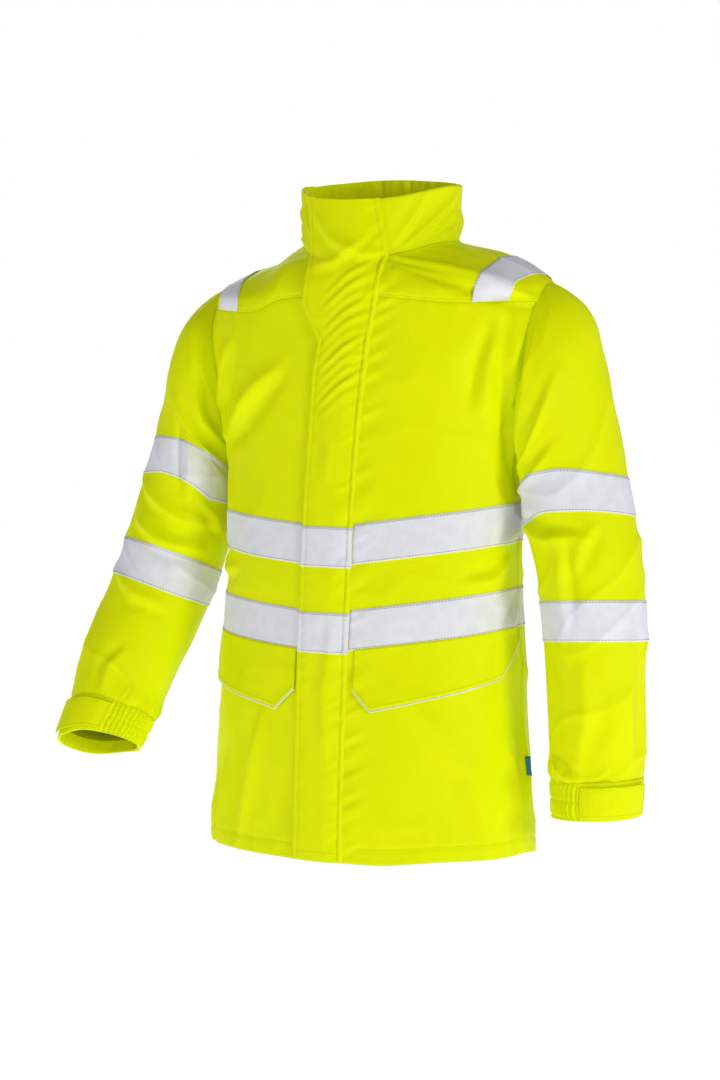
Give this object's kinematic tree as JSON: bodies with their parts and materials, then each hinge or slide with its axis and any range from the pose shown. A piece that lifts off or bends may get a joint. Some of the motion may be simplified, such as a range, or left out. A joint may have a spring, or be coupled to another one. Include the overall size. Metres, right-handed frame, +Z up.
{
  "type": "foul weather jacket",
  "caption": "Waterproof jacket with a stand collar, a storm flap over the front zip, reflective tapes, flap pockets and tabbed cuffs.",
  "frame": {"origin": "middle of the hanger loop inside the back of the collar, where the jacket hangs from a hook", "axes": "+Z up along the body from hem to collar, -Y out of the front, +X to the wearer's left"},
  "size_m": [0.7789, 0.3056, 0.8462],
  "materials": {
    "shell_fabric": "fluorescent yellow coated Oxford weave, soft sheen",
    "reflective_tape": "silver retroreflective transfer tape, fine grained",
    "lining": "fine mesh and taffeta, dull",
    "piping": "silver reflective piping",
    "hook_and_loop": "brushed hook and loop tape",
    "zip": "moulded acetal teeth and slider",
    "zip_tape": "woven polyester tape",
    "elastic_cuff": "coated fabric gathered over elastic",
    "label": "plain woven label",
    "webbing": "narrow woven webbing"
  },
  "bodies": {
    "shell": {"front_panel_left": "shell_fabric", "front_panel_right": "shell_fabric", "back_panel": "shell_fabric", "yoke_front_left": "shell_fabric", "yoke_front_right": "shell_fabric", "yoke_back": "shell_fabric", "collar_outer": "shell_fabric", "collar_lining": "lining", "body_lining": "lining", "sleeve_head_left": "shell_fabric", "sleeve_head_right": "shell_fabric", "body_tape_upper_left": "reflective_tape", "body_tape_upper_right": "reflective_tape", "body_tape_upper_back": "reflective_tape", "body_tape_lower_left": "reflective_tape", "body_tape_lower_right": "reflective_tape", "body_tape_lower_back": "reflective_tape", "shoulder_tape_left": "reflective_tape", "shoulder_tape_right": "reflective_tape", "zip_tape_left": "zip_tape", "zip_chain_left": "zip", "zip_tape_right": "zip_tape", "zip_chain_right": "zip", "zip_retainer_box": "zip", "storm_flap_loop": "hook_and_loop", "pocket_loop_left": "hook_and_loop", "pocket_bag_left": "lining", "pocket_loop_right": "hook_and_loop", "pocket_bag_right": "lining", "side_label": "label", "hanger_loop": "webbing"},
    "zip_slider": {"zip_slider_front": "zip", "zip_slider_back": "zip", "zip_pull": "zip"},
    "storm_flap": {"storm_flap": "shell_fabric", "flap_tape_upper": "reflective_tape", "flap_tape_lower": "reflective_tape", "storm_flap_hook": "hook_and_loop"},
    "pocket_flap_left": {"pocket_flap_left": "shell_fabric", "pocket_piping_left": "piping", "pocket_hook_left": "hook_and_loop"},
    "pocket_flap_right": {"pocket_flap_right": "shell_fabric", "pocket_piping_right": "piping", "pocket_hook_right": "hook_and_loop"},
    "sleeve_left": {"sleeve_left": "shell_fabric", "sleeve_tape_upper_left": "reflective_tape", "sleeve_tape_lower_left": "reflective_tape", "cuff_band_left": "shell_fabric", "cuff_elastic_left": "elastic_cuff", "cuff_loop_left": "hook_and_loop"},
    "sleeve_right": {"sleeve_right": "shell_fabric", "sleeve_tape_upper_right": "reflective_tape", "sleeve_tape_lower_right": "reflective_tape", "cuff_band_right": "shell_fabric", "cuff_elastic_right": "elastic_cuff", "cuff_loop_right": "hook_and_loop"},
    "cuff_tab_left": {"cuff_tab_left": "shell_fabric", "cuff_hook_left": "hook_and_loop"},
    "cuff_tab_right": {"cuff_tab_right": "shell_fabric", "cuff_hook_right": "hook_and_loop"}
  },
  "joints": [
    {"name": "zip_slide", "type": "hinge", "parent": "shell", "child": "zip_slider", "pos_m": [0, 6.85731, -1.02844], "axis": [1, 0, 0], "range_deg": [0, 6]},
    {"name": "storm_flap_open", "type": "hinge", "parent": "shell", "child": "storm_flap", "pos_m": [0.0407, -0.21615, -0.38384], "axis": [0.0353, 0.0892, 0.9954], "range_deg": [0, 85]},
    {"name": "pocket_flap_left_lift", "type": "hinge", "parent": "shell", "child": "pocket_flap_left", "pos_m": [0.15423, -0.19188, -0.50423], "axis": [-0.818, -0.5622, -0.1213], "range_deg": [0, 40]},
    {"name": "pocket_flap_right_lift", "type": "hinge", "parent": "shell", "child": "pocket_flap_right", "pos_m": [-0.15475, -0.19257, -0.51594], "axis": [-0.812, 0.5809, 0.0559], "range_deg": [0, 40]},
    {"name": "sleeve_left_raise", "type": "hinge", "parent": "shell", "child": "sleeve_left", "pos_m": [0.215, -0.06649, -0.09384], "axis": [0, -1, 0], "range_deg": [0, 50], "deforming": ["sleeve_head_left"]},
    {"name": "sleeve_right_raise", "type": "hinge", "parent": "shell", "child": "sleeve_right", "pos_m": [-0.215, -0.06649, -0.09384], "axis": [0, 1, 0], "range_deg": [0, 50], "deforming": ["sleeve_head_right"]},
    {"name": "cuff_tab_left_open", "type": "hinge", "parent": "sleeve_left", "child": "cuff_tab_left", "pos_m": [0.31749, -0.17534, -0.6947], "axis": [-0.0018, 0.0238, -0.9997], "range_deg": [0, 75]},
    {"name": "cuff_tab_right_open", "type": "hinge", "parent": "sleeve_right", "child": "cuff_tab_right", "pos_m": [-0.31082, -0.24623, -0.6219], "axis": [0.2986, 0.398, 0.8675], "range_deg": [0, 75]}
  ]
}
